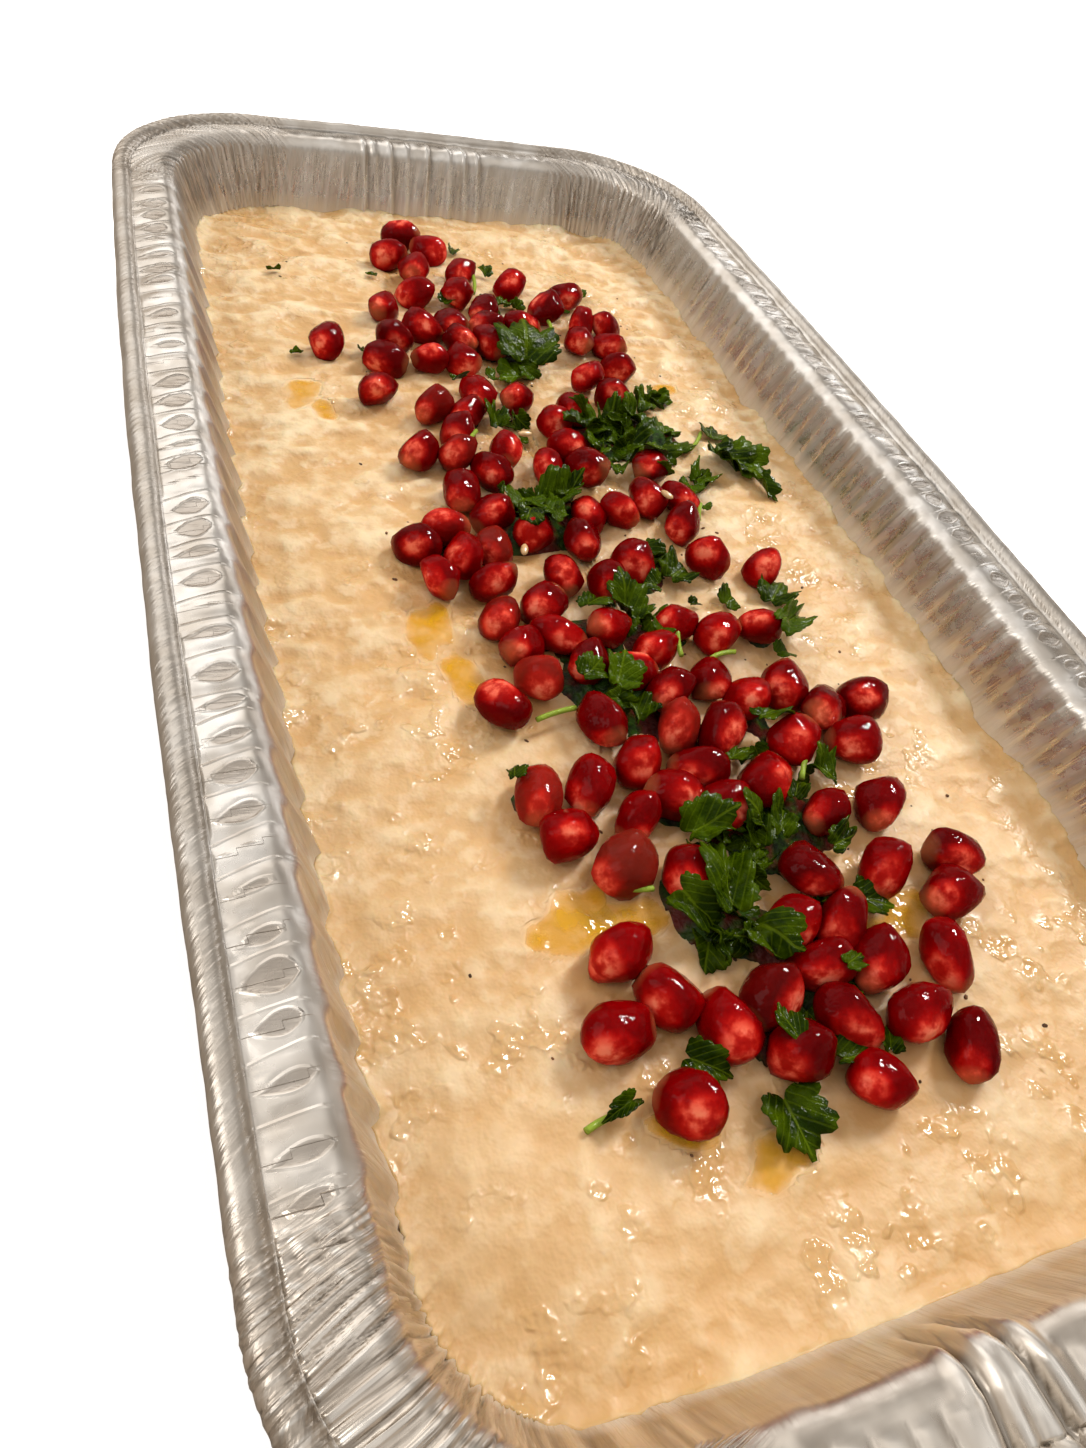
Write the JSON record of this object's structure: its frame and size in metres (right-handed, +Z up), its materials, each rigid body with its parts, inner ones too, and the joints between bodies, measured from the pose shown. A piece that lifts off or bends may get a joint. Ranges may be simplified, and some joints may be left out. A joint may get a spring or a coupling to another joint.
{
  "type": "baba ganoush in a foil tray",
  "caption": "Smoky aubergine dip in a rectangular foil tray with folded walls and a rolled rim, topped down the middle with pomegranate arils and chopped parsley.",
  "frame": {"origin": "middle of the tray's base, on the surface that it stands on", "axes": "+Y along the tray's length, away from the end shown nearest; +X across its width; +Z up"},
  "size_m": [0.171, 0.3274, 0.0407],
  "materials": {
    "foil": "bright rolled foil with folds",
    "dip": "moist and creamy",
    "pomegranate": "wet and translucent",
    "parsley": "fresh leaf"
  },
  "bodies": {
    "root": {"foil_tray": "foil", "dip": "dip", "garnish_heap": "pomegranate", "aril_01": "pomegranate", "aril_02": "pomegranate", "aril_03": "pomegranate", "aril_04": "pomegranate", "aril_05": "pomegranate", "aril_06": "pomegranate", "aril_07": "pomegranate", "aril_08": "pomegranate", "aril_09": "pomegranate", "aril_10": "pomegranate", "aril_11": "pomegranate", "aril_12": "pomegranate", "aril_13": "pomegranate", "aril_14": "pomegranate", "aril_15": "pomegranate", "aril_16": "pomegranate", "aril_17": "pomegranate", "parsley_leaf_1": "parsley", "parsley_leaf_2": "parsley"}
  },
  "joints": []
}
